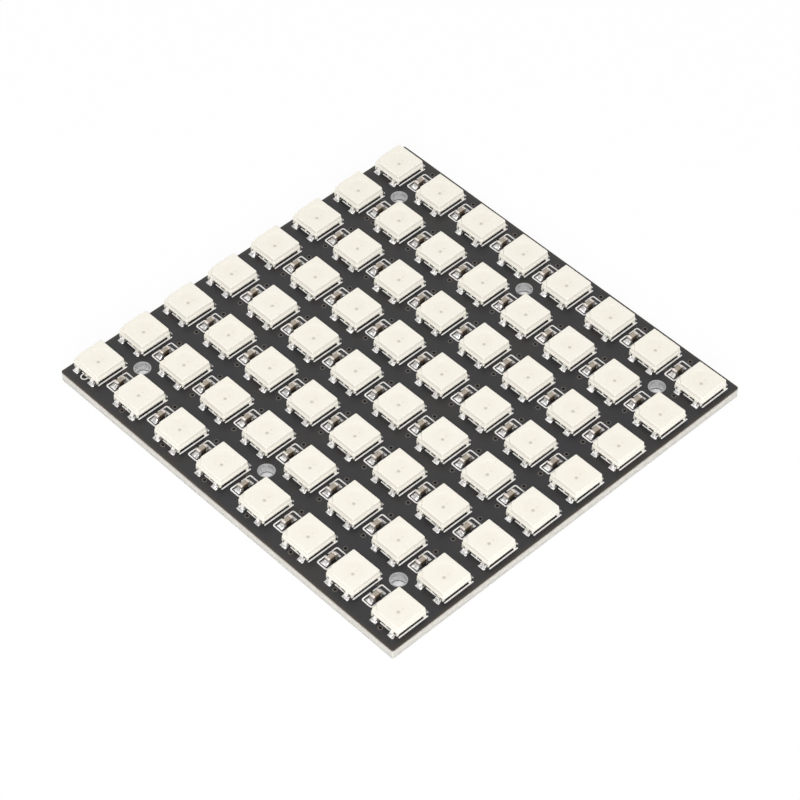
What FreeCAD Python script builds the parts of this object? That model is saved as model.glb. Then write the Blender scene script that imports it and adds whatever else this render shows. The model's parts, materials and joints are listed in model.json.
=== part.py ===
"""An 8 by 8 panel of addressable colour LEDs on a rigid circuit board.

The board lies flat, LED side up. The origin is the centre of its underside. +X runs along a row of LEDs
from the first to the last, +Y runs from the first row to the last, and +Z points out of the LED side.
All sizes are in millimetres.
"""
import FreeCAD, Part
import math
import os

from FreeCAD import Vector

# The grid of LEDs
COLUMNS = 8
ROWS = 8
PITCH_X = 8.4
PITCH_Y = 8.0

# The board, from the outermost LED centres to its edges
EDGE_LEFT = 2.97
EDGE_RIGHT = 3.54
EDGE_FRONT = 4.37
EDGE_BACK = 3.86
BOARD_THICKNESS = 1.6
BOARD_CORNER_RADIUS = 0.3

# The six screw holes, midway between four LEDs each, counted in pitches from the grid's centre
SCREW_HOLE_RADIUS = 1.1
SCREW_HOLE_STEPS = 3

# One LED housing and the film of solder under it: a foot that widens upward to a straight flange, and a
# slightly narrower top, with one corner of its face cut down to mark the first terminal
HOUSING_SIZE = 5.0
HOUSING_HEIGHT = 1.7
FOOT_HEIGHT = 0.6
FOOT_DRAFT = 0.4
FLANGE_HEIGHT = 0.35
FLANGE_LEDGE = 0.06
TOP_DRAFT = 0.04
MARK_SIZE = 0.9
MARK_DEPTH = 0.3

# The cup in the housing's face and the resin that fills it, a little below the rim
CUP_RADIUS = 1.8
CUP_DEPTH = 1.1
CUP_SIDES = 14
RESIN_DIP = 0.03

# The soldered leads, two on each of two sides
LEAD_WIDTH = 1.1
LEAD_SPACING = 3.25
LEAD_REACH = 1.05
LEAD_HEIGHT = 0.45

# The chip capacitors, each between two LEDs of a row
CAPACITOR_LENGTH = 1.6
CAPACITOR_WIDTH = 0.8
CAPACITOR_HEIGHT = 0.8
CAPACITOR_END = 0.35
CAPACITOR_BODY_INSET = 0.03

# The solder pads for wires, three at the data input and three at the output
WIRE_PAD_LENGTH = 3.0
WIRE_PAD_WIDTH = 2.0
WIRE_PAD_PITCH = 3.2
WIRE_PAD_COUNT = 3
WIRE_PAD_THICKNESS = 0.05
WIRE_PAD_EDGE = 1.2

# Worked out from the sizes above
GRID_LENGTH = (COLUMNS - 1) * PITCH_X
GRID_WIDTH = (ROWS - 1) * PITCH_Y
BOARD_LENGTH = EDGE_LEFT + GRID_LENGTH + EDGE_RIGHT
BOARD_WIDTH = EDGE_FRONT + GRID_WIDTH + EDGE_BACK
GRID_CENTRE_X = (EDGE_LEFT - EDGE_RIGHT) / 2
GRID_CENTRE_Y = (EDGE_FRONT - EDGE_BACK) / 2


def led_centre(column, row):
    """The centre of an LED on the board's top face, counting columns and rows from 0."""
    x = GRID_CENTRE_X - GRID_LENGTH / 2 + column * PITCH_X
    y = GRID_CENTRE_Y - GRID_WIDTH / 2 + row * PITCH_Y
    return Vector(x, y, BOARD_THICKNESS)


def block(low_x, low_y, low_z, length, width, height):
    """A rectangular block from its lowest corner."""
    return Part.makeBox(length, width, height, Vector(low_x, low_y, low_z))


def copies(shape, places):
    """One compound with a copy of the shape moved to each place."""
    moved = []
    for place in places:
        twin = shape.copy()
        twin.translate(place)
        moved.append(twin)
    return Part.makeCompound(moved)


def flat_faced_solid(outlines):
    """A solid from the corner lists of its flat faces."""
    faces = [Part.Face(Part.makePolygon(corners + corners[:1])) for corners in outlines]
    return Part.makeSolid(Part.makeShell(faces))


def frustum(low, high):
    """A solid between two outlines with as many corners each, joined by flat sides."""
    sides = []
    for index in range(len(low)):
        before = index - 1
        sides.append([low[before], low[index], high[index], high[before]])
    return flat_faced_solid([low, high] + sides)


def pyramid(rim, point):
    """A solid from an outline to a point."""
    sides = [[rim[index - 1], rim[index], point] for index in range(len(rim))]
    return flat_faced_solid([rim] + sides)


def save(name, shape):
    """Writes one named piece, or one group of like pieces."""
    shape.exportStep("parts/" + name + ".step")


# The board

def board_plate():
    """The bare plate, with rounded corners."""
    plate = block(-BOARD_LENGTH / 2, -BOARD_WIDTH / 2, 0, BOARD_LENGTH, BOARD_WIDTH, BOARD_THICKNESS)
    uprights = [edge for edge in plate.Edges if edge.BoundBox.ZLength > BOARD_THICKNESS / 2]
    return plate.makeFillet(BOARD_CORNER_RADIUS, uprights)


def screw_hole_places():
    """The centres of the six screw holes, on the plane of the board's underside."""
    places = []
    for across in (-1, 1):
        for along in (-1, 0, 1):
            x = GRID_CENTRE_X + along * SCREW_HOLE_STEPS * PITCH_X
            y = GRID_CENTRE_Y + across * SCREW_HOLE_STEPS * PITCH_Y
            places.append(Vector(x, y, 0))
    return places


def wire_pads():
    """The solder pads, level with the underside: the input near the left edge, the output near the right."""
    pad = block(0, 0, 0, WIRE_PAD_LENGTH, WIRE_PAD_WIDTH, WIRE_PAD_THICKNESS)
    pad.translate(Vector(-WIRE_PAD_LENGTH / 2, -WIRE_PAD_WIDTH / 2, 0))
    from_centre = BOARD_LENGTH / 2 - WIRE_PAD_EDGE - WIRE_PAD_LENGTH / 2
    places = []
    for side in (-1, 1):
        for index in range(WIRE_PAD_COUNT):
            y = (index - (WIRE_PAD_COUNT - 1) / 2) * WIRE_PAD_PITCH
            places.append(Vector(side * from_centre, y, 0))
    return copies(pad, places)


def make_board():
    """The plate with its screw holes, and the wire pads that lie in its underside."""
    pads = wire_pads()
    drill = Part.makeCylinder(SCREW_HOLE_RADIUS, BOARD_THICKNESS)
    board = board_plate().cut(copies(drill, screw_hole_places())).cut(pads)
    save("circuit_board", board)
    save("wire_pads", pads)


# The LEDs

def square(inset, z):
    """The corners of a level square, drawn in from the housing's full size."""
    reach = HOUSING_SIZE / 2 - inset
    return [Vector(-reach, -reach, z), Vector(reach, -reach, z), Vector(reach, reach, z), Vector(-reach, reach, z)]


def mark_cut():
    """The prism that is cut away from the face's first corner. Its far corner stands clear of the housing."""
    leg = MARK_SIZE + 2 * (FLANGE_LEDGE + TOP_DRAFT)
    corner = Vector(-HOUSING_SIZE / 2, -HOUSING_SIZE / 2, HOUSING_HEIGHT - MARK_DEPTH)
    outline = [corner, corner + Vector(leg, 0, 0), corner + Vector(0, leg, 0), corner]
    return Part.Face(Part.makePolygon(outline)).extrude(Vector(0, 0, 2 * MARK_DEPTH))


def cup_filling(dip):
    """What fills the cup up to a given depth below the rim: it narrows down to a point."""
    floor = HOUSING_HEIGHT - CUP_DEPTH
    height = CUP_DEPTH - dip
    radius = CUP_RADIUS * height / CUP_DEPTH
    rim = []
    for side in range(CUP_SIDES):
        turn = 2 * math.pi * (side + 0.5) / CUP_SIDES
        rim.append(Vector(radius * math.cos(turn), radius * math.sin(turn), floor + height))
    return pyramid(rim, Vector(0, 0, floor))


def led_housing():
    """One moulded housing: foot, flange and top, with the mark and the cup for the resin cut from its face."""
    ledge = FOOT_HEIGHT + FLANGE_HEIGHT
    foot = frustum(square(FOOT_DRAFT, 0), square(0, FOOT_HEIGHT))
    flange = frustum(square(0, FOOT_HEIGHT), square(0, ledge))
    top = frustum(square(FLANGE_LEDGE, ledge), square(FLANGE_LEDGE + TOP_DRAFT, HOUSING_HEIGHT))
    return foot.fuse(flange).fuse(top).cut(mark_cut()).cut(cup_filling(0))


def led_leads():
    """The four soldered leads of one LED, each a wedge that leans on the foot's slanted side."""
    leads = []
    foot = HOUSING_SIZE / 2 - FOOT_DRAFT
    lean = FOOT_DRAFT * LEAD_HEIGHT / FOOT_HEIGHT
    for side in (-1, 1):
        for hand in (-1, 1):
            x = hand * LEAD_SPACING / 2 - LEAD_WIDTH / 2
            heel = Vector(x, side * foot, 0)
            toe = Vector(x, side * (foot + LEAD_REACH), 0)
            top = Vector(x, side * (foot + lean), LEAD_HEIGHT)
            section = Part.Face(Part.makePolygon([heel, toe, top, heel]))
            leads.append(section.extrude(Vector(LEAD_WIDTH, 0, 0)))
    return Part.makeCompound(leads)


def make_leds():
    """All LEDs, one node of each kind of piece to a row."""
    housing = led_housing()
    resin = cup_filling(RESIN_DIP)
    leads = led_leads()
    for row in range(ROWS):
        places = [led_centre(column, row) for column in range(COLUMNS)]
        save(f"led_housings_row_{row + 1}", copies(housing, places))
        save(f"led_resin_row_{row + 1}", copies(resin, places))
        save(f"led_leads_row_{row + 1}", copies(leads, places))


# The capacitors

def capacitor_body():
    """The ceramic block between the two metal ends, a little slimmer than they are."""
    length = CAPACITOR_LENGTH - 2 * CAPACITOR_END
    width = CAPACITOR_WIDTH - 2 * CAPACITOR_BODY_INSET
    height = CAPACITOR_HEIGHT - 2 * CAPACITOR_BODY_INSET
    return block(-width / 2, -length / 2, CAPACITOR_BODY_INSET, width, length, height)


def capacitor_ends():
    """The two metal ends that stand on the board."""
    ends = []
    for low_y in (-CAPACITOR_LENGTH / 2, CAPACITOR_LENGTH / 2 - CAPACITOR_END):
        ends.append(block(-CAPACITOR_WIDTH / 2, low_y, 0, CAPACITOR_WIDTH, CAPACITOR_END, CAPACITOR_HEIGHT))
    return Part.makeCompound(ends)


def make_capacitors():
    """The capacitors of every gap between two columns."""
    body = capacitor_body()
    ends = capacitor_ends()
    for gap in range(1, COLUMNS):
        places = [led_centre(gap, row) - Vector(PITCH_X / 2, 0, 0) for row in range(ROWS)]
        save(f"capacitor_bodies_gap_{gap}", copies(body, places))
        save(f"capacitor_ends_gap_{gap}", copies(ends, places))


os.makedirs("parts", exist_ok=True)
make_board()
make_leds()
make_capacitors()
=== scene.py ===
"""Looks of a flat panel of sixty-four colour LEDs on a black circuit board.

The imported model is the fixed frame. Every size below is in millimetres, measured from the board or from the
centre of an LED on the board's face, and every place is worked out from the frame's own boxes.
"""
from __future__ import annotations

import json
import logging
import math
import random
from collections.abc import Callable, Iterable, Sequence
from dataclasses import dataclass, field
from enum import Enum

import bmesh
import bpy
from bpy.types import ID, Material, Mesh, NodeSocket, Object
from mathutils import Matrix, Vector
from mathutils.geometry import tessellate_polygon

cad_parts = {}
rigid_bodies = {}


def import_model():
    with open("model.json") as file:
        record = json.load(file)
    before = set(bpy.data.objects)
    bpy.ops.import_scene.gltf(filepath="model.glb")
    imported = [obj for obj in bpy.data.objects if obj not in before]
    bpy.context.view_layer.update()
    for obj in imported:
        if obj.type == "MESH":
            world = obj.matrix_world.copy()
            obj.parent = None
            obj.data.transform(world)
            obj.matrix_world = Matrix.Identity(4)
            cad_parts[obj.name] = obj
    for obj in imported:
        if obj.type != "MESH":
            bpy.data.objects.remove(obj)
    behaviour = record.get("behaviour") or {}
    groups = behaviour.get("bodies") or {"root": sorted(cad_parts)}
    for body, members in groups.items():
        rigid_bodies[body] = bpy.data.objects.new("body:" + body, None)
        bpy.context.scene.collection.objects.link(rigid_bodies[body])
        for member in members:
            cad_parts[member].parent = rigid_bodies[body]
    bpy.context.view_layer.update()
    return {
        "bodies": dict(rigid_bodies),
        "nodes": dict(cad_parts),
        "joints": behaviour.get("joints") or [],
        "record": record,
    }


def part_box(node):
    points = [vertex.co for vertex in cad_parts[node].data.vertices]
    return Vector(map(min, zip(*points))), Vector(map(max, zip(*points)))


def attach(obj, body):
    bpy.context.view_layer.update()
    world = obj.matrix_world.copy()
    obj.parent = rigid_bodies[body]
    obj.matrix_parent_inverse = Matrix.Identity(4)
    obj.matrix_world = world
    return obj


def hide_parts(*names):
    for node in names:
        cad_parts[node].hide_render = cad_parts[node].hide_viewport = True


LOG = logging.getLogger("led_panel")

MM = 0.001
BODY = "root"
SMOOTH_BELOW = math.radians(38)
SOLDER_RIM = 0.03

Colour = tuple[float, float, float]
Point = tuple[float, float, float]
Spot = tuple[float, float]
Ring = list[Point]


class Side(Enum):
    """The two faces of the board."""

    TOP = 1
    UNDER = -1


class End(Enum):
    """The two ends of an LED or a capacitor, named by their place along +Y."""

    BACK = 1
    FRONT = -1

    def turn(self) -> Matrix:
        """Turns what is built at the back end to this end."""
        return Matrix.Rotation(0.0 if self is End.BACK else math.pi, 4, "Z")


class Hand(Enum):
    """The two leads at one end of an LED, named by their place along +X."""

    LEFT = -1
    RIGHT = 1


# Shader maths


class Signal:
    """A shader socket that takes part in sums as a number does."""

    def __init__(self, graph: Graph, socket: NodeSocket) -> None:
        """Wraps one output socket of a graph."""
        self.graph = graph
        self.socket = socket

    def __add__(self, other: Signal | float) -> Signal:
        """The sum."""
        return self.graph.maths("ADD", self, other)

    def __radd__(self, other: float) -> Signal:
        """The sum, with the number first."""
        return self.graph.maths("ADD", other, self)

    def __sub__(self, other: Signal | float) -> Signal:
        """The difference."""
        return self.graph.maths("SUBTRACT", self, other)

    def __rsub__(self, other: float) -> Signal:
        """The difference, with the number first."""
        return self.graph.maths("SUBTRACT", other, self)

    def __mul__(self, other: Signal | float) -> Signal:
        """The product."""
        return self.graph.maths("MULTIPLY", self, other)

    def __rmul__(self, other: float) -> Signal:
        """The product, with the number first."""
        return self.graph.maths("MULTIPLY", other, self)

    def __truediv__(self, other: Signal | float) -> Signal:
        """The quotient."""
        return self.graph.maths("DIVIDE", self, other)

    def __gt__(self, limit: Signal | float) -> Signal:
        """1 where the signal is above the limit, and 0 elsewhere."""
        return self.graph.maths("GREATER_THAN", self, limit)

    def __lt__(self, limit: Signal | float) -> Signal:
        """1 where the signal is below the limit, and 0 elsewhere."""
        return self.graph.maths("LESS_THAN", self, limit)

    def size(self) -> Signal:
        """The value without its sign."""
        return self.graph.maths("ABSOLUTE", self)

    def root(self) -> Signal:
        """The square root."""
        return self.graph.maths("SQRT", self)

    def clipped(self) -> Signal:
        """The value held between 0 and 1."""
        return self.graph.maths("ADD", self, 0.0, clamp=True)


class Graph:
    """The nodes of one material, or of the world."""

    def __init__(self, name: str, world: bool = False) -> None:
        """Makes a new material with a principled shader, or a new world with a background.

        Args:
            name: the name of the material or the world.
            world: whether it is a world.
        """
        self.owner = (bpy.data.worlds if world else bpy.data.materials).new(name)
        self.owner.use_nodes = True
        self.tree = self.owner.node_tree
        self.shader = self.tree.nodes["Background" if world else "Principled BSDF"]

    def add(
        self, kind: str, settings: dict[str, object], values: dict[str | int, object], out: str | None = None
    ) -> Signal:
        """Adds any node.

        Args:
            kind: the node's type, such as "ShaderNodeMath".
            settings: its attributes, which are set first.
            values: numbers, colours or signals for its input sockets, by name or place.
            out: the name of the wanted output, where it isn't the first.

        Returns:
            The wanted output.
        """
        node = self.tree.nodes.new(kind)
        for key, value in settings.items():
            setattr(node, key, value)
        inputs = {socket.name: socket for socket in node.inputs if socket.enabled}
        for key, value in values.items():
            self._feed(inputs[key] if isinstance(key, str) else node.inputs[key], value)
        return Signal(self, node.outputs[out] if out else next(s for s in node.outputs if s.enabled))

    def _feed(self, socket: NodeSocket, value: object) -> None:
        """Links a signal to a socket, or writes a value on it.

        Args:
            socket: the input socket.
            value: the signal, number or colour.
        """
        if isinstance(value, Signal):
            self.tree.links.new(value.socket, socket)
        elif isinstance(value, tuple) and len(value) == 3 and len(socket.default_value) == 4:
            socket.default_value = (*value, 1.0)
        else:
            socket.default_value = value

    def maths(self, operation: str, *terms: Signal | float, clamp: bool = False) -> Signal:
        """One Math node on one or more terms."""
        settings = {"operation": operation, "use_clamp": clamp}
        return self.add("ShaderNodeMath", settings, dict(enumerate(terms)))

    def place(self) -> tuple[Signal, ...]:
        """The point of the surface in the row's own frame, in millimetres."""
        point = self.add("ShaderNodeTexCoord", {}, {}, "Object")
        return tuple(self.add("ShaderNodeSeparateXYZ", {}, {0: point}, axis) / MM for axis in "XYZ")

    def upward(self) -> Signal:
        """How far the surface faces up, from -1 to 1."""
        normal = self.add("ShaderNodeNewGeometry", {}, {}, "Normal")
        return self.add("ShaderNodeSeparateXYZ", {}, {0: normal}, "Z")

    def noise(self, cell: float, detail: float = 2.0, stretch: Point = (1.0, 1.0, 1.0)) -> Signal:
        """Cloudy noise from 0 to 1.

        Args:
            cell: the size of its blobs, in millimetres.
            detail: how many finer layers it has.
            stretch: how much longer its blobs are along each axis.

        Returns:
            The noise.
        """
        point = self.add("ShaderNodeTexCoord", {}, {}, "Object")
        scale = tuple(1 / (cell * MM * share) for share in stretch)
        point = self.add("ShaderNodeVectorMath", {"operation": "MULTIPLY"}, {0: point, 1: scale})
        return self.add("ShaderNodeTexNoise", {}, {"Vector": point, "Scale": 1.0, "Detail": detail})

    def band(self, value: Signal, low: float, high: float) -> Signal:
        """A smooth step from 0 at low to 1 at high, or down where low is the larger."""
        settings = {"interpolation_type": "SMOOTHSTEP"}
        return self.add("ShaderNodeMapRange", settings, {"Value": value, "From Min": low, "From Max": high})

    def blend(self, share: Signal, first: Colour | Signal, second: Colour | Signal) -> Signal:
        """A colour between two others."""
        values = {"Factor": share, "A": first, "B": second}
        return self.add("ShaderNodeMix", {"data_type": "RGBA"}, values)

    def bump(self, height: Signal, depth: float) -> Signal:
        """A bumped normal from a height of 0 to 1, with its depth in millimetres."""
        return self.add("ShaderNodeBump", {}, {"Strength": 1.0, "Distance": depth * MM, "Height": height})

    def seen_directly(self) -> Signal:
        """Tells the rays of the camera, and those that metal and glass send on, from all others.

        Returns:
            1 for those rays, and 0 for the others.
        """
        kinds = ("Is Camera Ray", "Is Glossy Ray", "Is Transmission Ray")
        camera, glossy, through = [self.add("ShaderNodeLightPath", {}, {}, kind) for kind in kinds]
        return self.maths("MAXIMUM", self.maths("MAXIMUM", camera, glossy), through)

    def finish(self, **inputs: Signal | float | Colour) -> ID:
        """Feeds the shader.

        Args:
            inputs: the values, by the input's name in lower case with underscores.

        Returns:
            The material or the world.
        """
        named = {s.name.lower().replace(" ", "_"): s for s in self.shader.inputs}
        for key, value in inputs.items():
            self._feed(named[key], value)
        return self.owner


# Finishes


@dataclass(frozen=True)
class MaskedBoard:
    """Glass-epoxy plate with a satin black mask on both faces and a pale cut edge."""

    top: float
    half_x: float
    half_y: float
    mask: Colour = (0.0058, 0.0056, 0.0085)
    mask_worn: Colour = (0.0128, 0.0108, 0.0100)
    mask_edge: Colour = (0.0200, 0.0155, 0.0100)
    mask_rough: float = 0.42
    skin: float = 0.045
    laminate: Colour = (0.67, 0.655, 0.61)
    laminate_dark: Colour = (0.46, 0.445, 0.41)
    laminate_rough: float = 0.82
    edge_brown: Colour = (0.13, 0.095, 0.07)
    edge_brown_band: Spot = (-0.38, 0.12)
    dark_line: float = 0.38
    weave: float = 11.0
    grain: float = 0.006
    ior: float = 1.45

    def material(self) -> Material:
        """Builds the material: the mask is a skin at the two faces, with the laminate between.

        Returns:
            The material.
        """
        g = Graph("board_mask")
        x, y, z = g.place()
        masked = ((z > self.top - self.skin) + (z < self.skin)).clipped()
        cloudy = g.noise(5.0, 3.0)
        speck = g.noise(0.09, 1.0)
        black = g.blend(g.band(cloudy * 0.55 + speck * 0.45, 0.40, 0.62), self.mask, self.mask_worn)
        inward = g.maths("MINIMUM", self.half_x - x.size(), self.half_y - y.size())
        black = g.blend(g.band(inward, 0.6, 0.1), black, self.mask_edge)
        layers = g.noise(0.22, 2.0, (3.0, 3.0, 0.35))
        grit = g.noise(0.07, 1.0)
        pale = g.blend(g.band(layers * 0.55 + grit * 0.45, 0.44, 0.62), self.laminate, self.laminate_dark)
        # The cut edge turns dark brown towards its top, and a thin line low on the edge takes a quarter of
        # that brown.
        edge = g.band(z + layers * 0.2, self.top + self.edge_brown_band[0], self.top + self.edge_brown_band[1])
        line = g.band((z - self.dark_line).size(), 0.1, 0.03)
        pale = g.blend((edge + line * 0.25).clipped(), pale, self.edge_brown)
        colour = g.blend(masked, pale, black)
        weave = g.maths("SINE", x * self.weave) * g.maths("SINE", y * self.weave) * 0.5 + 0.5
        normal = g.bump(weave * 0.35 + g.noise(0.5, 2.0) * 0.4 + grit * 0.25, self.grain)
        rough = self.laminate_rough - masked * (self.laminate_rough - self.mask_rough - cloudy * 0.08)
        return g.finish(base_color=colour, roughness=rough, normal=normal, ior=self.ior)


@dataclass(frozen=True)
class Moulding:
    """Cream moulded plastic of the LED housings, a little different from one LED to the next, with painted
    shade that makes the side walls darker and greyer than the top.
    """

    pitch_x: float
    pitch_y: float
    light: Colour = (0.90, 0.865, 0.78)
    warm: Colour = (0.90, 0.852, 0.75)
    side: Colour = (0.85, 0.815, 0.735)
    rough: float = 0.52
    grain: float = 0.004
    ior: float = 1.48

    def material(self) -> Material:
        """Builds the material.

        Returns:
            The material.
        """
        g = Graph("led_moulding")
        x, y, _ = g.place()
        column = g.maths("FLOOR", x / self.pitch_x)
        row = g.maths("FLOOR", y / self.pitch_y)
        cell = g.add("ShaderNodeCombineXYZ", {}, {0: column, 1: row, 2: 0.0})
        each = g.add("ShaderNodeTexWhiteNoise", {}, {"Vector": cell})
        stain = g.noise(1.6, 2.0)
        colour = g.blend((each * 0.55 + stain * 0.45).clipped(), self.light, self.warm)
        # Painted shade: faces that turn away from up take the darker, greyer side colour.
        colour = g.blend(g.band(g.upward(), 0.9, 0.3), colour, self.side)
        normal = g.bump(g.noise(0.12, 2.0), self.grain)
        return g.finish(base_color=colour, roughness=self.rough, normal=normal, ior=self.ior)


@dataclass(frozen=True)
class MilkyResin:
    """Milky resin in the cup of an LED, with the chips showing through as faint shadows."""

    first_x: float
    first_y: float
    pitch_x: float
    pitch_y: float
    milk: Colour = (0.875, 0.835, 0.735)
    deep: Colour = (0.862, 0.818, 0.712)
    rim: Colour = (0.895, 0.857, 0.765)
    chip: Colour = (0.42, 0.39, 0.34)
    dot: Spot = (0.50, -0.50)
    wire: Spot = (0.45, 0.29)
    rough: float = 0.34
    grain: float = 0.006
    ior: float = 1.5

    def material(self) -> Material:
        """Builds the material: distances are taken from the centre of the LED that the point lies on.

        Returns:
            The material.
        """
        g = Graph("led_resin")
        x, y, _ = g.place()
        u = self._local(g, x, self.first_x, self.pitch_x)
        v = self._local(g, y, self.first_y, self.pitch_y)
        colour = g.blend(g.band(g.noise(0.9, 2.0), 0.35, 0.7), self.milk, self.deep)
        colour = g.blend(g.band(self._distance(u, v, 0.0, 0.0), 0.9, 1.8), colour, self.rim)
        dot = g.band(self._distance(u, v, *self.dot), 0.36, 0.08)
        wire = g.band(self._distance(u, v, *self.wire), 0.22, 0.05)
        colour = g.blend((dot * 0.68 + wire * 0.22).clipped(), colour, self.chip)
        normal = g.bump(g.noise(0.5, 1.0), self.grain)
        return g.finish(base_color=colour, roughness=self.rough, normal=normal, ior=self.ior)

    @staticmethod
    def _local(g: Graph, value: Signal, first: float, pitch: float) -> Signal:
        """The distance along one axis from the nearest LED's centre."""
        turns = (value - first) / pitch
        return (turns - g.maths("ROUND", turns)) * pitch

    @staticmethod
    def _distance(u: Signal, v: Signal, at_u: float, at_v: float) -> Signal:
        """The distance from a point near the LED's centre."""
        du, dv = u - at_u, v - at_v
        return (du * du + dv * dv).root()


@dataclass(frozen=True)
class Metal:
    """Tinned or plated metal, uneven as a soldered surface is."""

    name: str
    bright: Colour
    dull: Colour
    smooth: float
    rough: float
    grain: float
    depth: float = 0.01
    metallic: float = 1.0

    def material(self) -> Material:
        """Builds the material.

        Returns:
            The material.
        """
        g = Graph(self.name)
        uneven = g.noise(self.grain, 3.0) * 0.7 + g.noise(self.grain * 0.3, 1.0) * 0.3
        share = g.band(uneven, 0.38, 0.66)
        colour = g.blend(share, self.bright, self.dull)
        rough = self.smooth + share * (self.rough - self.smooth)
        normal = g.bump(uneven, self.depth)
        return g.finish(base_color=colour, roughness=rough, metallic=self.metallic, normal=normal)


@dataclass(frozen=True)
class Ink:
    """White board print, a little thin in places."""

    white: Colour = (0.84, 0.83, 0.81)
    thin: Colour = (0.70, 0.69, 0.67)
    rough: float = 0.62
    grain: float = 0.004

    def material(self) -> Material:
        """Builds the material.

        Returns:
            The material.
        """
        g = Graph("white_ink")
        colour = g.blend(g.band(g.noise(0.35, 2.0), 0.5, 0.75), self.white, self.thin)
        return g.finish(base_color=colour, roughness=self.rough, normal=g.bump(g.noise(0.1, 1.0), self.grain))


@dataclass(frozen=True)
class Ceramic:
    """Fired ceramic of the capacitors: tan on top, with painted shade that makes the sides dark brown."""

    tan: Colour = (0.345, 0.297, 0.238)
    brown: Colour = (0.105, 0.074, 0.046)
    rough: float = 0.38
    grain: float = 0.006

    def material(self) -> Material:
        """Builds the material.

        Returns:
            The material.
        """
        g = Graph("capacitor_ceramic")
        # Painted shade: faces that turn away from up take the dark brown side colour, for the shade that
        # falls on the capacitors' sides.
        share = g.band(g.upward() + (g.noise(0.3, 2.0) - 0.5) * 0.5, 0.35, 0.9)
        colour = g.blend(share, self.brown, self.tan)
        normal = g.bump(g.noise(0.08, 2.0), self.grain)
        return g.finish(base_color=colour, roughness=self.rough, normal=normal)


@dataclass(frozen=True)
class Plain:
    """A dark or coloured surface that is too small to show more than a slight mottle."""

    name: str
    colour: Colour
    other: Colour
    rough: float
    shine: float = 0.5

    def material(self) -> Material:
        """Builds the material.

        Returns:
            The material.
        """
        g = Graph(self.name)
        colour = g.blend(g.noise(0.15, 1.0), self.colour, self.other)
        return g.finish(base_color=colour, roughness=self.rough, specular_ior_level=self.shine)


SOLDER = Metal(
    "solder", (0.69, 0.68, 0.67), (0.33, 0.32, 0.31), smooth=0.18, rough=0.42, grain=0.30, depth=0.07
)
TAB = Metal(
    "lead_metal", (0.88, 0.86, 0.81), (0.80, 0.78, 0.73), smooth=0.25, rough=0.4, grain=0.5, metallic=0.55
)
# Painted shade: the tabs' sides are dark grey, standing in for the shade beside each tab.
TAB_SIDE_SHADE = Plain("lead_side", (0.20, 0.19, 0.17), (0.29, 0.27, 0.245), rough=0.5)
TIN = Metal("tinned_pad", (0.82, 0.81, 0.79), (0.66, 0.65, 0.63), smooth=0.25, rough=0.45, grain=0.6)
PLATING = Metal("hole_plating", (0.80, 0.80, 0.80), (0.60, 0.60, 0.61), smooth=0.35, rough=0.5, grain=0.4)
CAP_METAL = Metal(
    "capacitor_cap",
    (0.69, 0.635, 0.59),
    (0.50, 0.46, 0.425),
    smooth=0.38,
    rough=0.55,
    grain=0.25,
    metallic=0.85,
)
VIA_RING = Plain("via_ring", (0.100, 0.086, 0.072), (0.074, 0.065, 0.056), rough=0.4)
# Painted shade: a near-black flat disc with almost no shine stands in for the dark down an open via.
VIA_PIT_SHADE = Plain("via_pit", (0.009, 0.008, 0.007), (0.017, 0.014, 0.013), rough=0.7, shine=0.05)
HOLE_RIM = Plain("hole_rim", (0.46, 0.46, 0.46), (0.36, 0.36, 0.36), rough=0.5)
# Painted shade: the lowest part of each hole's plated wall is near-black, for the shade deep in the hole.
HOLE_FOOT_SHADE = Plain("hole_burr", (0.045, 0.042, 0.040), (0.075, 0.070, 0.066), rough=0.6)


# Mesh building


def rounded(corners: Sequence[Spot], radius: float, steps: int) -> list[Spot]:
    """Rounds each corner of a closed outline.

    Args:
        corners: the outline's sharp corners, in order.
        radius: the radius of each corner, which takes at most 0.45 of the edges beside it.
        steps: how many short edges stand for each corner.

    Returns:
        The points of the rounded outline.
    """
    points = []
    for index, corner in enumerate(corners):
        here = Vector(corner)
        back = Vector(corners[index - 1]) - here
        ahead = Vector(corners[(index + 1) % len(corners)]) - here
        reach = min(radius / math.tan(back.angle(ahead) / 2), 0.45 * back.length, 0.45 * ahead.length)
        start = here + back.normalized() * reach
        end = here + ahead.normalized() * reach
        for step in range(steps + 1):
            share = step / steps
            point = start * (1 - share) ** 2 + here * 2 * share * (1 - share) + end * share**2
            points.append((point.x, point.y))
    return points


def circle(radius: float, sides: int) -> list[Spot]:
    """The points of a circle, anticlockwise."""
    turns = [2 * math.pi * side / sides for side in range(sides)]
    return [(radius * math.cos(turn), radius * math.sin(turn)) for turn in turns]


def rectangle(low_x: float, high_x: float, low_y: float, high_y: float) -> list[Spot]:
    """The corners of an upright rectangle, anticlockwise."""
    return [(low_x, low_y), (high_x, low_y), (high_x, high_y), (low_x, high_y)]


def at_height(outline: Iterable[Spot], z: float) -> Ring:
    """Lifts a flat outline to a height."""
    return [(x, y, z) for x, y in outline]


def round_rings(profile: Iterable[Spot], sides: int) -> list[Ring]:
    """The rings of a round shape from its radii and heights."""
    return [at_height(circle(radius, sides), z) for radius, z in profile]


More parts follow.
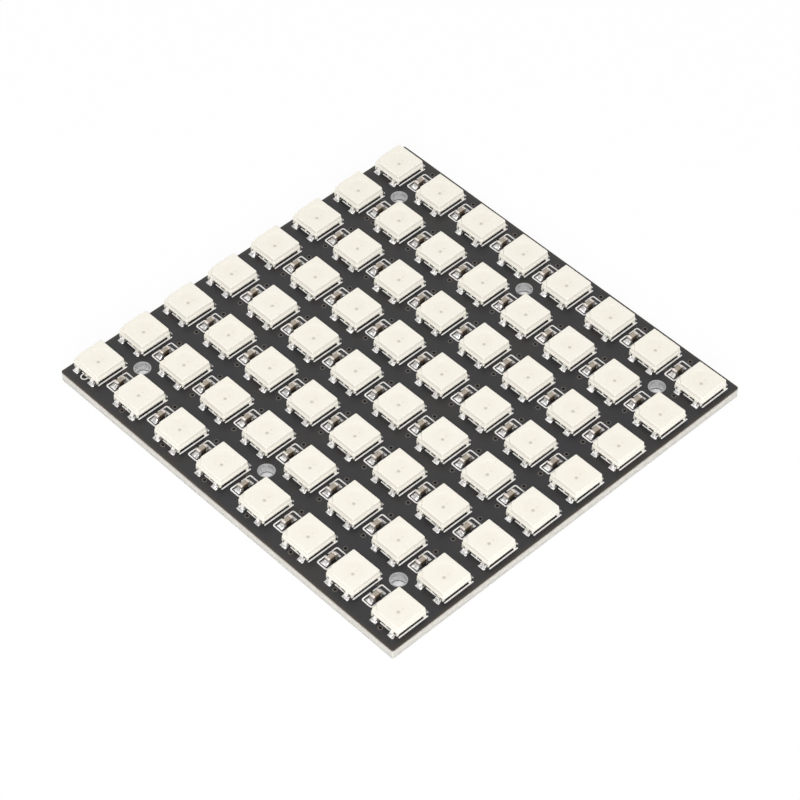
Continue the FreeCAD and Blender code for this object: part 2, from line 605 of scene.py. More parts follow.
def lump(across: int, out: int, surface: Callable[[float, float], Point]) -> Shape:
    """A closed lump of solder, with a low rim, upright sides down to the board and a flat base.

    Args:
        across: how many facets it has along X.
        out: how many it has along Y.
        surface: gives a point of its top from a place across, -1 to 1, and a share of the way out.

    Returns:
        The lump.
    """
    rows = []
    for step in range(out + 1):
        row = [surface(2 * part / across - 1, step / out) for part in range(across + 1)]
        inside = range(1, across) if 0 < step < out else ()
        rows.append([(x, y, z if part in inside else SOLDER_RIM) for part, (x, y, z) in enumerate(row)])
    shape = Shape()
    borders = []
    for level in (rows, [at_height([point[:2] for point in row], 0.0) for row in rows]):
        grid = [shape.ring(row) for row in level]
        for low, high in zip(grid, grid[1:]):
            for part in range(across):
                shape.face((low[part], low[part + 1], high[part + 1], high[part]))
        right, left = [row[-1] for row in grid[1:]], [row[0] for row in grid[-2:0:-1]]
        borders.append([*grid[0], *right, *grid[-1][-2::-1], *left])
    shape.wall(borders[1], borders[0])
    return shape


def hollow(u: float, v: float, wide_u: float, wide_v: float) -> float:
    """The share of a soft dent's depth at a distance from its middle: 1 there, and less around it."""
    return math.exp(-(u**2) / wide_u - v**2 / wide_v)


def loosely(at: Matrix, chance: random.Random, turn: float, shift: float, aside: float = 0.0) -> Matrix:
    """Turns and shifts a place a little, as a soldered part lies.

    Args:
        at: the exact place.
        chance: the source of the turn and the shift.
        turn: the largest turn, in degrees.
        shift: the largest shift along X and Y.
        aside: a fixed shift along both.

    Returns:
        The place that the part takes.
    """
    spin = Matrix.Rotation(math.radians(chance.uniform(-turn, turn)), 4, "Z")
    moves = [aside + chance.uniform(-shift, shift) for _ in "xy"]
    return at @ Matrix.Translation((*moves, 0.0)) @ spin


def add_object(name: str, data: ID) -> Object:
    """Puts an object into the scene.

    Args:
        name: its name.
        data: its mesh, light or camera.

    Returns:
        The object.
    """
    made = bpy.data.objects.new(name, data)
    bpy.context.scene.collection.objects.link(made)
    return made


@dataclass
class Shape:
    """Points and faces gathered for one mesh, in millimetres, with a finish number to each face."""

    points: list[Point] = field(default_factory=list)
    faces: list[tuple[int, ...]] = field(default_factory=list)
    finishes: list[int] = field(default_factory=list)

    def face(self, corners: Sequence[int], finish: int = 0) -> None:
        """Adds one face by its point numbers."""
        self.faces.append(tuple(corners))
        self.finishes.append(finish)

    def ring(self, points: Sequence[Point]) -> list[int]:
        """Adds a ring of points and gives their numbers."""
        self.points.extend(points)
        return list(range(len(self.points) - len(points), len(self.points)))

    def wall(self, low: Sequence[int], high: Sequence[int], finish: int = 0) -> None:
        """Joins two rings of as many points with a band of faces."""
        for index in range(len(low)):
            self.face((low[index - 1], low[index], high[index], high[index - 1]), finish)

    def loft(self, rings: Iterable[Ring], finish: int = 0, ends: int | None = 0) -> list[list[int]]:
        """Joins rings of as many points in order.

        Args:
            rings: the rings.
            finish: the finish number of the bands between them.
            ends: the finish number of the faces that close the two ends, or None to leave them open.

        Returns:
            The point numbers of each ring.
        """
        numbers = [self.ring(points) for points in rings]
        for low, high in zip(numbers, numbers[1:]):
            self.wall(low, high, finish)
        if ends is not None:
            self.face(numbers[0][::-1], ends)
            self.face(numbers[-1], ends)
        return numbers

    def holed_face(self, outer: Sequence[int], inner: Sequence[int]) -> None:
        """Fills between an outline and a hole in it with triangles.

        Args:
            outer: the point numbers of the outline.
            inner: those of the hole.
        """
        loops = [[Vector(self.points[i]) for i in loop] for loop in (outer, inner)]
        numbers = [*outer, *inner]
        for corners in tessellate_polygon(loops):
            self.face([numbers[i] for i in corners])

    def stamp(self, other: Shape, matrix: Matrix) -> None:
        """Adds a copy of another shape.

        Args:
            other: the shape.
            matrix: the place of the copy.
        """
        first = len(self.points)
        self.points.extend(tuple(matrix @ Vector(point)) for point in other.points)
        self.faces.extend(tuple(first + i for i in face) for face in other.faces)
        self.finishes.extend(other.finishes)

    def piece(self, name: str, materials: Sequence[Material], slot: str, *nodes: str) -> None:
        """Makes the mesh into a piece of the panel, which rides on the board.

        Args:
            name: the piece's name.
            materials: its finishes, in the order of the finish numbers.
            slot: the record's material slot that it belongs to, which is not used.
            nodes: the nodes of the frame that it stands for, if any.
        """
        mesh = bpy.data.meshes.new(name)
        mesh.from_pydata([[c * MM for c in point] for point in self.points], [], self.faces)
        for material in materials:
            mesh.materials.append(material)
        mesh.polygons.foreach_set("material_index", self.finishes)
        self._soften(mesh)
        piece = add_object(name, mesh)
        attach(piece, BODY)
        if nodes:
            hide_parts(*nodes)
        LOG.info("%s: %d faces", name, len(mesh.polygons))

    @staticmethod
    def _soften(mesh: Mesh) -> None:
        """Turns all faces outward, and shades them smooth across edges that turn little.

        Args:
            mesh: the mesh.
        """
        work = bmesh.new()
        work.from_mesh(mesh)
        bmesh.ops.recalc_face_normals(work, faces=work.faces)
        for face in work.faces:
            face.smooth = True
        for edge in work.edges:
            edge.smooth = len(edge.link_faces) == 2 and edge.calc_face_angle() < SMOOTH_BELOW
        work.to_mesh(mesh)
        work.free()


# Places from the frame


@dataclass(frozen=True)
class Grid:
    """Where the LEDs are and the screw holes between them, as the frame's boxes say.

    A screw hole is midway between an LED of hole_columns and hole_rows and the next one both ways.
    """

    columns: tuple[float, ...]
    rows: tuple[float, ...]
    face: float
    high: Point
    hole_columns: tuple[int, ...] = (0, 3, 6)
    hole_rows: tuple[int, ...] = (0, 6)

    @classmethod
    def from_frame(cls) -> Grid:
        """Reads the LED centres from the boxes of the square housings, and the rest from the board's box.

        Returns:
            The grid, in millimetres.
        """
        rows = []
        while (name := f"led_housings_row_{len(rows) + 1}") in bpy.data.objects:
            low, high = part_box(name)
            rows.append((low.y + high.y) / 2 / MM)
        half = (high.y - low.y) / 2
        first, last = (low.x + half) / MM, (high.x - half) / MM
        count = len(rows)
        columns = [first + (last - first) * index / (count - 1) for index in range(count)]
        _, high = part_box("circuit_board")
        return cls(tuple(columns), tuple(rows), high.z / MM, tuple(high / MM))

    @property
    def pitch_x(self) -> float:
        """The distance from one column to the next."""
        return self.columns[1] - self.columns[0]

    @property
    def pitch_y(self) -> float:
        """The distance from one row to the next."""
        return self.rows[1] - self.rows[0]

    @property
    def screw_holes(self) -> list[Spot]:
        """The centres of the six screw holes.

        Returns:
            The centres, in rows along X.
        """
        xs = [(self.columns[i] + self.columns[i + 1]) / 2 for i in self.hole_columns]
        ys = [(self.rows[j] + self.rows[j + 1]) / 2 for j in self.hole_rows]
        return [(x, y) for y in ys for x in xs]


# Sub-assemblies


@dataclass
class Board:
    """The plate, the wire pads and the linings of the screw holes."""

    grid: Grid
    hole_radius: float = 1.1
    lining_wall: float = 0.035
    lining_out: float = 0.005
    ring_width: float = 0.125
    ring_height: float = 0.018
    ring_sunk: float = 0.03
    ring_bevel: float = 0.01
    foot_shade_height: float = 0.13
    sides: int = 48

    def dress(self, nodes: dict[str, Object]) -> None:
        """Gives the plate and the wire pads, which stay as the frame has them, their finishes.

        Args:
            nodes: the frame's nodes by name.
        """
        half_x, half_y, top = self.grid.high
        finishes = {"circuit_board": MaskedBoard(top, half_x, half_y), "wire_pads": TIN}
        for name, finish in finishes.items():
            nodes[name].data.materials.clear()
            nodes[name].data.materials.append(finish.material())

    def lining(self) -> Shape:
        """One plated sleeve with a thin ring on each face, painted near-black at its lower end as the shade
        deep in the hole.

        Returns:
            The sleeve, with finishes 0 for its wall, 1 for the painted shade at its lower end and 2 for the
            rings.
        """
        shape = Shape()
        inner = self.hole_radius - self.lining_wall
        sleeve = self.hole_radius + self.lining_out
        outer = self.hole_radius + self.ring_width
        top, bevel = self.grid.face, self.ring_bevel
        profile = [
            (inner, 0.0),
            (outer, 0.0),
            (outer, self.ring_sunk),
            (sleeve, self.ring_sunk),
            (sleeve, top),
            (outer - bevel, top),
            (outer - bevel, top + self.ring_height * 0.5),
            (outer - 3 * bevel, top + self.ring_height),
            (inner + bevel, top + self.ring_height),
            (inner, top),
        ]
        numbers = shape.loft(round_rings(profile, self.sides), 2, ends=None)
        # The wall's lowest band takes the painted shade.
        shade_ring = shape.ring(at_height(circle(inner, self.sides), self.foot_shade_height))
        shape.wall(numbers[-1], shade_ring)
        shape.wall(shade_ring, numbers[0], 1)
        return shape

    def build(self, frame: dict) -> None:
        """Dresses the plate and the pads, and builds all six sleeves.

        Args:
            frame: the frame, as it was loaded.
        """
        self.dress(frame["nodes"])
        shape = Shape()
        for x, y in self.grid.screw_holes:
            shape.stamp(self.lining(), Matrix.Translation((x, y, 0)))
        shape.piece("hole_linings", [PLATING.material(), HOLE_FOOT_SHADE.material(), HOLE_RIM.material()], "tin")


@dataclass
class Vias:
    """The small vias on both faces of the board.

    Most are above and below the middle of a gap between two LEDs, and one to a gap is beside the first row.
    Each of others is a column, a row, and the via's place from the LED there.
    """

    grid: Grid
    pit_radius: float = 0.2
    pit_depth: float = 0.003
    ring_radius: float = 0.36
    ring_bevel: float = 0.05
    ring_land: float = 0.03
    height: float = 0.014
    sides: int = 20
    under_share: float = 0.3
    above: float = 2.6
    below: float = -2.3
    by_hole: Spot = (-1.0, 1.75)
    by_last_hole: Spot = (-1.5, 1.55)
    first_row: Spot = (-0.2, -2.95)
    others: tuple[tuple[int, int, float, float], ...] = (
        (7, 7, -5.75, -0.8),
        (7, 7, -1.5, -3.55),
        (1, 6, -3.0, -2.25),
    )

    def via(self) -> Shape:
        """One via: a masked ring that stands up a little, with a shallow pit in it that is painted near-black
        as the shade down a hole.

        Returns:
            The via, with finishes 0 for the ring and 1 for the pit's painted shade.
        """
        shape = Shape()
        edge = (self.ring_radius - self.ring_bevel, self.height)
        profile = [(self.ring_radius, 0.0), edge, (self.pit_radius + self.ring_land, self.height)]
        numbers = shape.loft(round_rings(profile, self.sides), ends=None)
        pit = shape.ring(at_height(circle(self.pit_radius, self.sides), self.pit_depth))
        shape.wall(numbers[-1], pit, 1)
        shape.face(pit, 1)
        shape.face(numbers[0][::-1])
        return shape

    def places(self) -> list[Spot]:
        """Where the vias are, moved aside where a screw hole takes their place.

        Returns:
            The places on the board.
        """
        grid = self.grid
        last_column, last_row = len(grid.columns) - 1, len(grid.rows) - 1
        places = []
        for i in range(1, last_column + 1):
            x = grid.columns[i] - grid.pitch_x / 2
            has_holes = i - 1 in grid.hole_columns
            for j, y in enumerate(grid.rows):
                move = (0.0, self.above)
                if has_holes and j in grid.hole_rows:
                    move = self.by_hole if i < last_column else self.by_last_hole
                places.append((x + move[0], y + move[1]))
                if 0 < j < last_row and not (has_holes and j - 1 in grid.hole_rows):
                    places.append((x, y + self.below))
            places.append((grid.columns[i] + self.first_row[0], grid.rows[0] + self.first_row[1]))
        places.extend((grid.columns[i] + x, grid.rows[j] + y) for i, j, x, y in self.others)
        return places

    def build(self) -> None:
        """Builds the vias of both faces, flatter on the underside."""
        finishes = [VIA_RING.material(), VIA_PIT_SHADE.material()]
        via = self.via()
        for side in Side:
            shape = Shape()
            level, share = (self.grid.face, 1.0) if side is Side.TOP else (0.0, self.under_share)
            flip = Matrix.Scale(side.value * share, 4, (0, 0, 1))
            for x, y in self.places():
                shape.stamp(via, Matrix.Translation((x, y, level)) @ flip)
            shape.piece(f"vias_{side.name.lower()}", finishes, "board")


@dataclass
class Print:
    """The white marks on the board's face, each a thin stroke of ink."""

    grid: Grid
    height: float = 0.02
    line: float = 0.215
    short_line: float = 0.19
    bracket_line: float = 0.2
    bar_x: float = 2.56
    bar_ends: Spot = (-2.42, 2.70)
    short_ends: Spot = (-0.85, 1.0)
    short_y: float = 2.38
    bracket_x: float = 0.88
    bracket_ends: Spot = (-1.57, 1.92)
    bracket_corner: float = 0.26
    bracket_gap: float = 0.17
    corner_steps: int = 5
    ring_y: float = -2.68
    ring_radius: float = 0.48
    ring_line: float = 0.15
    ring_sides: int = 32

    def stroke(self, path: Sequence[Spot], width: float, closed: bool = False) -> Shape:
        """A stroke along a path, rounded at its ends unless the path closes on itself.

        Args:
            path: the points of its middle line.
            width: its width.
            closed: whether the path closes on itself.

        Returns:
            The stroke.
        """
        points = [Vector(point) for point in path]
        widths = [width / 2] * len(points)
        if not closed:
            points, widths = self._round_ends(points, width)
        shape = Shape()
        sections = []
        for index, point in enumerate(points):
            before = points[index - 1] if index or closed else point
            after = points[(index + 1) % len(points)] if index + 1 < len(points) or closed else point
            along = (after - before).normalized()
            side = Vector((-along.y, along.x)) * widths[index]
            left, right = point + side, point - side
            corners = [(*left, 0.0), (*right, 0.0), (*right, self.height), (*left, self.height)]
            sections.append(shape.ring(corners))
        for one, two in zip(sections, sections[1:] + sections[:1] if closed else sections[1:]):
            shape.wall(one, two)
        if not closed:
            shape.face(sections[0][::-1])
            shape.face(sections[-1])
        return shape

    @staticmethod
    def _round_ends(points: list[Vector], width: float) -> tuple[list[Vector], list[float]]:
        """Adds points near both ends of an open path, where the stroke narrows as a half circle does.

        Args:
            points: the points of the path.
            width: the stroke's width.

        Returns:
            The points, and half the width at each.
        """
        full = width / 2
        start = (points[1] - points[0]).normalized()
        end = (points[-2] - points[-1]).normalized()
        shares = (0.06, 0.3, 0.65)
        head = [points[0] + start * full * share for share in shares]
        tail = [points[-1] + end * full * share for share in reversed(shares)]
        narrow = [full * math.sqrt(1 - (1 - share) ** 2) for share in shares]
        return [*head, *points[1:-1], *tail], [*narrow, *[full] * (len(points) - 2), *reversed(narrow)]

    def bracket(self, end: End) -> Shape:
        """One of the two brackets around a capacitor.

        Args:
            end: the end of the capacitor that it goes around.

        Returns:
            The bracket, seen from the capacitor's centre.
        """
        low, high = self.bracket_ends
        far = high if end is End.BACK else low
        x, near = self.bracket_x, (low + high) / 2 + end.value * self.bracket_gap
        corners = [(-x, near), (-x, far), (x, far), (x, near)]
        turned = rounded(corners, self.bracket_corner, self.corner_steps)
        steps = len(turned) // 4
        return self.stroke([corners[0], *turned[steps : 3 * steps], corners[3]], self.bracket_line)

    def led_marks(self) -> Shape:
        """The bars that go with one LED.

        Returns:
            The bars, seen from the LED's centre.
        """
        shape = Shape()
        upright = [(self.bar_x, y) for y in (self.bar_ends[0], 0.0, self.bar_ends[1])]
        shape.stamp(self.stroke(upright, self.line), Matrix())
        for y in (-self.short_y, self.short_y):
            level = [(x, y) for x in (self.short_ends[0], 0.0, self.short_ends[1])]
            shape.stamp(self.stroke(level, self.short_line), Matrix())
        return shape

    def build(self) -> None:
        """Prints the bars beside the LEDs, the brackets around the capacitors and a ring by the first LED."""
        ink = [Ink().material()]
        grid = self.grid
        bars, brackets, ring = Shape(), Shape(), Shape()
        for y in grid.rows:
            for x in grid.columns:
                bars.stamp(self.led_marks(), Matrix.Translation((x, y, grid.face)))
            for x in grid.columns[1:]:
                for end in reversed(End):
                    at = Matrix.Translation((x - grid.pitch_x / 2, y, grid.face))
                    brackets.stamp(self.bracket(end), at)
        at = Matrix.Translation((grid.columns[0], grid.rows[0] + self.ring_y, grid.face))
        ring.stamp(self.stroke(circle(self.ring_radius, self.ring_sides), self.ring_line, closed=True), at)
        bars.piece("printed_bars", ink, "board")
        brackets.piece("printed_brackets", ink, "board")
        ring.piece("printed_ring", ink, "board")


@dataclass
class Led:
    """One LED package: housing, resin and four soldered leads, seen from its centre on the board's face.

    Each of posts is a small rib or corner post beneath the flange, at both ends: its place along X, its
    width, how far it stands in from the flange, and the height of its foot.
    """

    size: float = 5.0
    height: float = 1.7
    foot_height: float = 0.6
    foot_draft: float = 0.4
    foot_bevel: float = 0.15
    flange_height: float = 0.35
    ledge: float = 0.06
    mark_size: float = 0.9
    mark_depth: float = 0.3
    corner: float = 0.16
    posts: tuple[tuple[float, ...], ...] = (
        (-0.1, 0.14, 0.08, 0.06),
        (-2.18, 0.26, 0.08, 0.06),
        (2.33, 0.27, 0.03, 0.0),
    )
    post_back: float = 2.1
    post_corner: float = 0.05
    cup_radius: float = 1.8
    cup_sides: int = 48
    resin_gap: float = 0.003
    lead_spacing: float = 3.25
    lead_width: float = 1.1
    lead_reach: float = 3.16
    lead_height: float = 0.42
    tab_width: float = 0.56
    tab_height: float = 0.64
    tab_reach: float = 0.4
    tab_inward: float = 0.09
    pad_aside: float = 0.065
    groove_x: float = 0.05
    groove_width: float = 0.05
    solder_steps: tuple[int, int] = (16, 9)

    def outline(self, inset: float, mark: float) -> list[Spot]:
        """A level outline of the housing: a square with soft corners, the first one bevelled.

        Args:
            inset: how far it is drawn in from the full size.
            mark: the length that the bevel takes off two sides.

        Returns:
            The outline.
        """
        reach = self.size / 2 - inset
        square = rectangle(-reach, reach, -reach, reach)
        corners = [(mark - reach, -reach), *square[1:], (-reach, mark - reach)]
        return rounded(corners, self.corner, 4)

    def housing(self) -> Shape:
        """The moulded body: foot, flange and top, with the first terminal's mark and a shallow cup.

        Returns:
            The housing.
        """
        shape = Shape()
        flange, low, full = self.foot_height, self.foot_bevel, self.mark_size
        ledge = flange + self.flange_height
        mark = self.height - self.mark_depth
        draft = self.ledge + 0.01
        levels = [
            (0.0, self.foot_draft, low),
            (flange - 0.04, 0.03, low),
            (flange - 0.01, 0.004, low),
            (flange + 0.02, 0.0, low),
            (ledge - 0.025, 0.0, low),
            (ledge - 0.005, 0.014, low),
            (ledge, self.ledge - 0.012, low),
            (ledge + 0.02, self.ledge, low),
            (mark - 0.012, draft, low),
            (mark, draft + 0.001, 0.19),
            (mark + 0.004, draft + 0.002, full - 0.06),
            (mark + 0.02, draft + 0.004, full - 0.02),
            (self.height - 0.07, draft + 0.015, full),
            (self.height - 0.03, draft + 0.025, full),
            (self.height - 0.008, draft + 0.05, full),
            (self.height, draft + 0.08, full - 0.02),
            (self.height, draft + 0.14, full - 0.03),
        ]
        rings = [at_height(self.outline(inset, bevel), z) for z, inset, bevel in levels]
        numbers = shape.loft(rings, ends=None)
        shape.face(numbers[0][::-1])
        cup = [(0.04, 0.0), (0.008, 0.0), (0.0, 0.012), (-0.002, 0.07)]
        profile = [(self.cup_radius + out, self.height - dip) for out, dip in cup]
        lip = shape.loft(round_rings(profile, self.cup_sides), ends=None)
        shape.holed_face(numbers[-1], lip[0])
        shape.face(lip[-1])
        for end in End:
            for x, wide, inset, foot in self.posts:
                corners = rectangle(x - wide / 2, x + wide / 2, self.post_back, self.size / 2 - inset)
                section = rounded(corners, self.post_corner, 2)
                post = Shape()
                post.loft([at_height(section, foot), at_height(section, flange + 0.02)])
                shape.stamp(post, end.turn())
        return shape

    def resin(self) -> Shape:
        """The resin, very slightly hollow.

        Returns:
            The resin.
        """
        shape = Shape()
        radius = self.cup_radius - self.resin_gap
        levels = [(1.0, 0.065), (1.0, 0.010), (0.97, 0.011), (0.85, 0.013), (0.5, 0.016)]
        profile = [(radius * share, self.height - dip) for share, dip in levels]
        shape.loft(round_rings(profile, self.cup_sides))
        return shape

    def solder(self, chance: random.Random, tab_x: float) -> Shape:
        """One pad's solder, drawn up to the metal tab, at the back end and centred across X.

        Args:
            chance: the source of its unevenness.
            tab_x: where the tab's middle lies across the pad.

        Returns:
            The solder.
        """
        half = self.lead_width / 2 * chance.uniform(0.92, 1.06)
        end = self.lead_reach + chance.uniform(-0.06, 0.06)
        height = self.lead_height * chance.uniform(0.6, 1.0)
        lean = chance.uniform(-0.35, 0.35)
        dent_u, dent_v = chance.uniform(-0.5, 0.5), chance.uniform(0.35, 0.7)
        dent = chance.uniform(0.03, 0.09)
        start, face = self.size / 2 - 0.2, self.size / 2 + 0.1

        def surface(u: float, v: float) -> Point:
            """One point of the solder's top, with a groove on both sides of the tab and a dent.

            Args:
                u: its place across, from -1 to 1.
                v: its share of the way out.

            Returns:
                The point.
            """
            y = start + (end - start) * v
            beyond = max(0.0, (y - face) / (end - face))
            beside = abs(u * half - tab_x) - self.tab_width / 2
            off = (beside - self.groove_x) / self.groove_width
            groove = math.exp(-(off**2)) * max(0.0, 1 - beyond)
            fall = (1 - beyond) ** 1.8 * (1 + lean * u)
            swell = 0.09 * math.sin(math.pi * min(1.0, 1.1 * beyond)) * (1 - u * u)
            pit = dent * hollow(u - dent_u, v - dent_v, 0.09, 0.03)
            lift = ((height - SOLDER_RIM) * fall + swell) * (1 - 0.5 * groove) - pit
            narrow = 1 - 0.05 * v * v
            return u * half * narrow, y - 0.03 * u * u * v, SOLDER_RIM + max(0.0, lift)

        return lump(*self.solder_steps, surface)

    def tab(self) -> Shape:
        """The metal lead that slopes out from under the flange, at the back end and centred across X.

        Returns:
            The lead, with finishes 1 for its long faces and 2 for its two sides, which are painted dark as
            shade.
        """
        shape = Shape()
        half, face, top, low = self.tab_width / 2, self.size / 2, self.tab_height, 0.02
        inside, end = face - 0.3, face + self.tab_reach
        corners = [(inside, low), (end, low), (end, 0.08), (face + 0.12, 0.40), (face, top), (inside, top)]
        section = rounded(corners, 0.05, 2)
        shape.loft([[(x, y, z) for y, z in section] for x in (-half, half)], 1, ends=2)
        return shape

    def leads(self, chance: random.Random) -> Shape:
        """All four tabs and their solder.

        Args:
            chance: the source of the solder's unevenness.

        Returns:
            The leads, with finishes 0 for the solder, and 1 and 2 for the tabs.
        """
        shape = Shape()
        for end in End:
            for hand in Hand:
                pad_x = hand.value * self.lead_spacing / 2 + self.pad_aside * end.value
                tab_x = hand.value * (self.lead_spacing / 2 - self.tab_inward)
                solder = self.solder(chance, tab_x - pad_x)
                shape.stamp(solder, end.turn() @ Matrix.Translation((pad_x, 0, 0)))
                shape.stamp(self.tab(), end.turn() @ Matrix.Translation((tab_x, 0, 0)))
        return shape


@dataclass
class LedField:
    """All LEDs, a row at a time."""

    grid: Grid
    led: Led = field(default_factory=Led)
    turn: float = 0.5
    shift: float = 0.02
    seed: int = 11

    def build(self) -> None:
        """Builds the housings, the resin and the leads of every row."""
        grid = self.grid
        housing, resin = self.led.housing(), self.led.resin()
        moulding = Moulding(grid.pitch_x, grid.pitch_y).material()
        milky = MilkyResin(grid.columns[0], grid.rows[0], grid.pitch_x, grid.pitch_y).material()
        metals = [SOLDER.material(), TAB.material(), TAB_SIDE_SHADE.material()]
        chance = random.Random(self.seed)
        for number, y in enumerate(grid.rows, start=1):
            housings, fillings, leads = Shape(), Shape(), Shape()
            for x in grid.columns:
                at = Matrix.Translation((x, y, grid.face))
                loose = loosely(at, chance, self.turn, self.shift)
                housings.stamp(housing, loose)
                fillings.stamp(resin, loose)
                leads.stamp(self.led.leads(chance), at)
            housings.piece(f"housings_row_{number}", [moulding], "led_housing", f"led_housings_row_{number}")
            fillings.piece(f"resin_row_{number}", [milky], "led_resin", f"led_resin_row_{number}")
            leads.piece(f"leads_row_{number}", metals, "tin", f"led_leads_row_{number}")


@dataclass
class Capacitor:
    """One chip capacitor on its two pads, seen from its centre on the board's face, long along Y."""

    length: float = 1.6
    width: float = 0.8
    height: float = 0.8
    end: float = 0.35
    inset: float = 0.05
    foot: float = 0.02
    overlap: float = 0.02
    corner: float = 0.05
    pad_half: float = 0.55
    pad_reach: float = 1.33
    solder_steps: tuple[int, int] = (10, 7)

    def body(self) -> Shape:
        """The ceramic block, with softened edges.

        Returns:
            The block.
        """
        shape = Shape()
        half = self.width / 2 - self.inset
        section = rounded(rectangle(-half, half, self.foot, self.height - self.inset), self.corner, 3)
        reach = self.length / 2 - self.end + self.overlap
        shape.loft([[(x, y, z) for x, z in section] for y in (reach, -reach)])
        return shape

    def cap(self, chance: random.Random) -> Shape:
        """One metal end, rounded like a dipped one, at the back end.

        Args:
            chance: the source of its uneven length.

        Returns:
            The metal end.
        """
        shape = Shape()
        outer = self.length / 2
        inner = outer - self.end * chance.uniform(0.92, 1.08)
        levels = [
            (outer, 0.09, 0.09),
            (outer - 0.03, 0.03, 0.09),
            (outer - 0.09, 0.0, 0.08),
            (inner + 0.025, 0.0, 0.07),
            (inner, 0.035, 0.06),
        ]
        rings = []
        for y, draw, soft in levels:
            half = self.width / 2 - draw
            corners = rectangle(-half, half, draw * 0.6, self.height - draw)
            rings.append([(x, y, z) for x, z in rounded(corners, soft, 4)])
        shape.loft(rings)
        return shape

    def solder(self, chance: random.Random) -> Shape:
        """The pad and the solder that climbs one metal end, at the back end.

        Args:
            chance: the source of its unevenness.

        Returns:
            The solder.
        """
        half = self.pad_half * chance.uniform(0.96, 1.04)
        start, face = self.length / 2 - self.end, self.length / 2 - 0.04
        climb = self.height * chance.uniform(0.35, 0.7)
        dent_u = chance.uniform(-0.4, 0.4)

        def surface(u: float, v: float) -> Point:
            """One point of the solder's top, which falls off outward and beside the capacitor, with a dent.

            Args:
                u: its place across, from -1 to 1.
                v: its share of the way out.

            Returns:
                The point.
            """
            y = start + (self.pad_reach - start) * v
            beyond = max(0.0, y - face) / (self.pad_reach - face)
            over = max(0.0, abs(u) * half - self.width / 2) / max(half - self.width / 2, 0.01)
            pit = 0.08 * hollow(u - dent_u, beyond - 0.5, 0.12, 0.05)
            rise = (climb - SOLDER_RIM) * (1 - beyond) ** 2 * (1 - 0.35 * u * u) * max(0.0, 1 - over)
            return u * half, y, max(SOLDER_RIM, SOLDER_RIM + rise - pit) + SOLDER_RIM

        return lump(*self.solder_steps, surface)


@dataclass
class CapacitorField:
    """All capacitors, a column at a time."""

    grid: Grid
    capacitor: Capacitor = field(default_factory=Capacitor)
    turn: float = 2.0
    shift: float = 0.04
    aside: float = 0.04
    seed: int = 23

    def build(self) -> None:
        """Builds the bodies, the metal ends and the solder of every gap between two columns."""
        grid = self.grid
        body = self.capacitor.body()
        ceramic, metal, tin = Ceramic().material(), CAP_METAL.material(), SOLDER.material()
        chance = random.Random(self.seed)
        joints = Shape()
        for gap in range(1, len(grid.columns)):
            bodies, caps = Shape(), Shape()
            for y in grid.rows:
                at = Matrix.Translation((grid.columns[gap] - grid.pitch_x / 2, y, grid.face))
                loose = loosely(at, chance, self.turn, self.shift, self.aside)
                bodies.stamp(body, loose)
                for end in End:
                    caps.stamp(self.capacitor.cap(chance), loose @ end.turn())
                    joints.stamp(self.capacitor.solder(chance), at @ end.turn())
            body_node, ends_node = f"capacitor_bodies_gap_{gap}", f"capacitor_ends_gap_{gap}"
            bodies.piece(f"capacitors_gap_{gap}", [ceramic], "capacitor_ceramic", body_node)
            caps.piece(f"capacitor_caps_gap_{gap}", [metal], "capacitor_metal", ends_node)
        joints.piece("capacitor_solder", [tin], "tin")


# Studio


def outward(azimuth: float, elevation: float) -> Vector:
    """The direction from the board to a place around it, in degrees, with azimuth 0 in front and 90 at +X."""
    turn, lift = math.radians(azimuth), math.radians(elevation)
    return Vector((math.sin(turn) * math.cos(lift), -math.cos(turn) * math.cos(lift), math.sin(lift)))


@dataclass
class Camera:
    """The photograph's viewpoint, aimed at a point of the board's face, seen from the middle of the LEDs."""

    grid: Grid
    azimuth: float = 46.53
    elevation: float = 48.17
    roll: float = -0.11
    distance: float = 399.87
    lens: float = 134.1
    sensor: float = 36.0
    clip: Spot = (0.01, 10.0)
    aim: Spot = (3.078, -2.714)

    def build(self) -> None:
        """Places the camera."""
        back = outward(self.azimuth, self.elevation)
        middle_x = (self.grid.columns[0] + self.grid.columns[-1]) / 2
        middle_y = (self.grid.rows[0] + self.grid.rows[-1]) / 2
        aim = Vector((middle_x + self.aim[0], middle_y + self.aim[1], self.grid.face))
        data = bpy.data.cameras.new("photo_camera")
        data.lens = self.lens
        data.sensor_width = self.sensor
        data.clip_start, data.clip_end = self.clip
        camera = add_object("photo_camera", data)
        facing = back.to_track_quat("Z", "Y").to_matrix().to_4x4()
        spin = Matrix.Rotation(math.radians(self.roll), 4, "Z")
        camera.matrix_world = Matrix.Translation((aim + back * self.distance) * MM) @ facing @ spin
        bpy.context.scene.camera = camera


@dataclass
class Lamp:
    """A large soft lamp that points at the middle of the board, with its distance and size in metres."""

    name: str
    azimuth: float
    elevation: float
    distance: float
    size: float
    watts: float

    def build(self) -> None:
        """Places the lamp."""
        back = outward(self.azimuth, self.elevation)
        data = bpy.data.lights.new(self.name, "AREA")
        data.shape = "DISK"
        data.size = self.size
        data.energy = self.watts
        lamp = add_object(self.name, data)
        lamp.location = back * self.distance
        lamp.rotation_mode = "QUATERNION"
        lamp.rotation_quaternion = back.to_track_quat("Z", "Y")


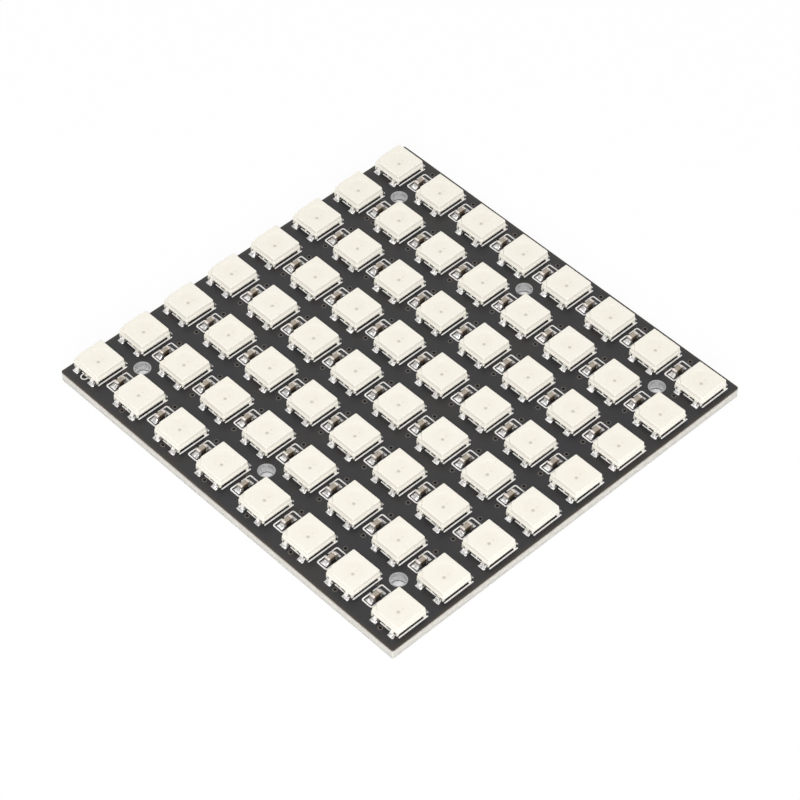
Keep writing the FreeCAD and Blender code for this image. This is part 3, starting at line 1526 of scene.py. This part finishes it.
@dataclass
class Studio:
    """A white floor, a white world and soft lamps. The floor's reach and drop are in metres."""

    grid: Grid
    reach: float = 2.0
    drop: float = 2e-5
    white: Colour = (1.0, 1.0, 1.0)
    floor_colour: Colour = (0.92, 0.92, 0.92)
    own_light: float = 0.94
    own_light_below: float = 0.2
    world_light: float = 0.42
    lamps: tuple[Lamp, ...] = (
        Lamp("front_lamp", 47.0, 31.0, distance=1.2, size=0.75, watts=13.0),
        Lamp("back_lamp", 235.0, 50.0, distance=1.2, size=0.8, watts=0.8),
        Lamp("top_lamp", 300.0, 75.0, distance=1.2, size=0.8, watts=2.2),
    )

    def floor_material(self) -> Material:
        """Matt white that glows a little where it is seen directly, and less in the dark beneath the board.

        Returns:
            The material.
        """
        g = Graph("studio_floor")
        x, y, _ = g.place()
        over_x = x.size() - self.grid.high[0]
        over_y = y.size() - self.grid.high[1]
        outside = g.maths("MAXIMUM", over_x, over_y) > 0.0
        share = g.seen_directly() * (outside * (self.own_light - self.own_light_below) + self.own_light_below)
        g.finish(base_color=self.floor_colour, roughness=0.9, specular_ior_level=0.1)
        glow = g.add("ShaderNodeEmission", {}, {"Color": self.white, "Strength": 1.0})
        both = g.add("ShaderNodeMixShader", {}, {0: share, 1: Signal(g, g.shader.outputs[0]), 2: glow})
        g.tree.links.new(both.socket, g.tree.nodes["Material Output"].inputs["Surface"])
        return g.owner

    def floor(self) -> None:
        """A white floor that still takes the object's shadow."""
        mesh = bpy.data.meshes.new("studio_floor")
        corners = rectangle(-self.reach, self.reach, -self.reach, self.reach)
        mesh.from_pydata(at_height(corners, -self.drop), [], [(0, 1, 2, 3)])
        mesh.materials.append(self.floor_material())
        floor = add_object("studio_floor", mesh)

    def world(self) -> None:
        """A white world: full white where it is seen, and plain soft light where it only lights."""
        g = Graph("studio_world", world=True)
        strength = g.seen_directly() * (1.0 - self.world_light) + self.world_light
        bpy.context.scene.world = g.finish(color=self.white, strength=strength)

    def build(self) -> None:
        """Builds the studio and sets the plain view transform."""
        bpy.context.scene.view_settings.view_transform = "Standard"
        self.world()
        self.floor()
        for lamp in self.lamps:
            lamp.build()


def main() -> None:
    """Loads the frame, dresses it and lights it."""
    logging.basicConfig(level=logging.INFO, format="%(name)s: %(message)s")
    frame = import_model()
    grid = Grid.from_frame()
    Camera(grid).build()
    Board(grid).build(frame)
    Vias(grid).build()
    Print(grid).build()
    LedField(grid).build()
    CapacitorField(grid).build()
    Studio(grid).build()


if __name__ == "__main__":
    main()
